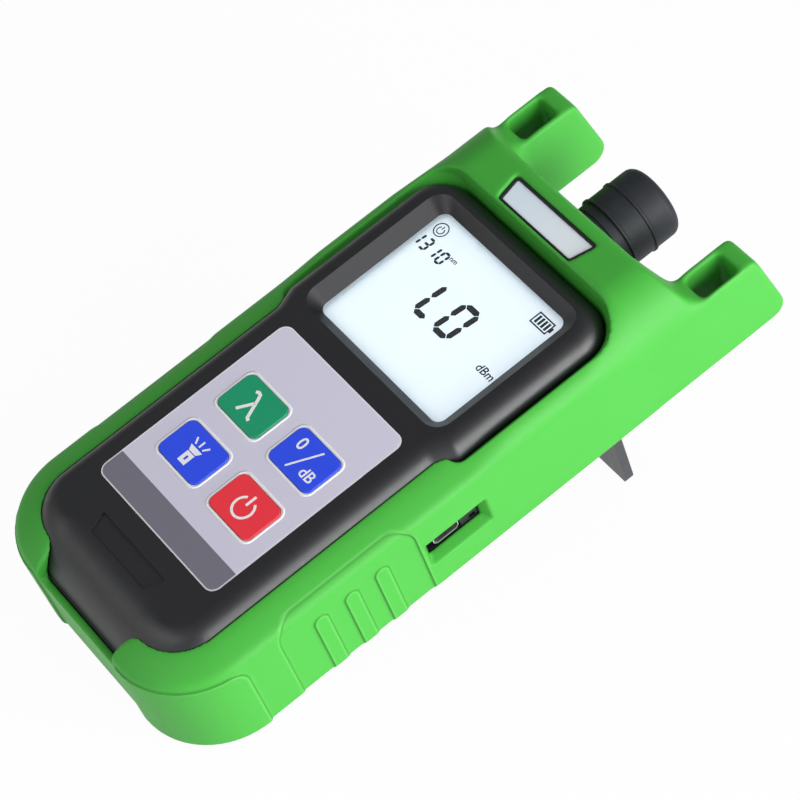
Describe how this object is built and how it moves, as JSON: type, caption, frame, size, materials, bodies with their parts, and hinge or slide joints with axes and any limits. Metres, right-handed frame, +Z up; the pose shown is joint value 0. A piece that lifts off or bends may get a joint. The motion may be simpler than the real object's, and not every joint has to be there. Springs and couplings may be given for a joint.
{
  "type": "optical power meter",
  "caption": "Handheld optical power meter in a moulded silicone boot: display, keypad, charging socket, capped optical port, lanyard horns and a fold-out stand at the back.",
  "frame": {"origin": "centre of the bounding box's base, with the meter standing on its boot and its kickstand", "axes": "+Z up; +Y along the meter towards the optical port, as seen from above, so the face looks up and towards -Y; +X towards the charging socket's side, the right of the display"},
  "size_m": [0.0812, 0.1792, 0.0814],
  "materials": {
    "boot_silicone": "soft satin silicone, bright green",
    "case_plastic": "fine satin, near black",
    "window_clear": "clear, polished",
    "cell_glass": "pale reflective liquid crystal cell",
    "diffuser_white": "milky diffuser",
    "connector_rubber": "layered conductive rubber",
    "panel_film": "printed film, pale lavender",
    "dome_steel": "stamped",
    "label_film": "plain film",
    "board_laminate": "green solder mask",
    "screw_steel": "zinc plated",
    "chip_plastic": "moulded",
    "battery_film": "shrink film",
    "socket_steel": "stamped and plated",
    "socket_plastic": "moulded",
    "contact_gold": "gold plated",
    "adapter_metal": "nickel plated",
    "ferrule_ceramic": "ground zirconia",
    "detector_can": "gold flashed can",
    "lamp_epoxy": "clear epoxy",
    "cap_rubber": "dark grey, matt",
    "stand_plastic": "satin black",
    "pin_steel": "ground",
    "key_green": "satin",
    "key_blue": "satin",
    "key_red": "satin"
  },
  "bodies": {
    "meter_body": {"protective_boot": "boot_silicone", "front_housing": "case_plastic", "rear_housing": "case_plastic", "display_window": "window_clear", "display_panel": "cell_glass", "display_backlight": "diffuser_white", "display_connectors": "connector_rubber", "keypad_overlay": "panel_film", "key_domes": "dome_steel", "name_label": "label_film", "main_board": "board_laminate", "board_screws": "screw_steel", "meter_chip": "chip_plastic", "case_screws": "screw_steel", "battery_pack": "battery_film", "charging_board": "board_laminate", "charging_board_screws": "screw_steel", "charging_socket_shell": "socket_steel", "charging_socket_insert": "socket_plastic", "charging_contacts": "contact_gold", "adapter_flange": "adapter_metal", "adapter_sleeve": "adapter_metal", "ferrule_sleeve": "ferrule_ceramic", "adapter_screws": "screw_steel", "detector": "detector_can", "torch_lamp": "lamp_epoxy", "kickstand_pin": "pin_steel"},
    "wavelength_key_body": {"wavelength_key": "key_green"},
    "reference_key_body": {"reference_key": "key_blue"},
    "lamp_key_body": {"lamp_key": "key_blue"},
    "power_key_body": {"power_key": "key_red"},
    "dust_cap_body": {"dust_cap": "cap_rubber"},
    "kickstand_body": {"kickstand": "stand_plastic"}
  },
  "joints": [
    {"name": "wavelength_key_press", "type": "slide", "parent": "meter_body", "child": "wavelength_key_body", "axis": [0, 0.3126, -0.9499], "range_m": [0, 0.0004], "stiffness_N_per_m": 1500, "springref_m": -0.0002},
    {"name": "reference_key_press", "type": "slide", "parent": "meter_body", "child": "reference_key_body", "axis": [0, 0.3126, -0.9499], "range_m": [0, 0.0004], "stiffness_N_per_m": 1500, "springref_m": -0.0002},
    {"name": "lamp_key_press", "type": "slide", "parent": "meter_body", "child": "lamp_key_body", "axis": [0, 0.3126, -0.9499], "range_m": [0, 0.0004], "stiffness_N_per_m": 1500, "springref_m": -0.0002},
    {"name": "power_key_press", "type": "slide", "parent": "meter_body", "child": "power_key_body", "axis": [0, 0.3126, -0.9499], "range_m": [0, 0.0004], "stiffness_N_per_m": 1500, "springref_m": -0.0002},
    {"name": "dust_cap_pull", "type": "slide", "parent": "meter_body", "child": "dust_cap_body", "axis": [0, 0.9499, 0.3126], "range_m": [0, 0.03]},
    {"name": "kickstand_hinge", "type": "hinge", "parent": "meter_body", "child": "kickstand_body", "pos_m": [0, 0.04536, 0.0438], "axis": [1, 0, 0], "range_deg": [-90, 0]}
  ]
}
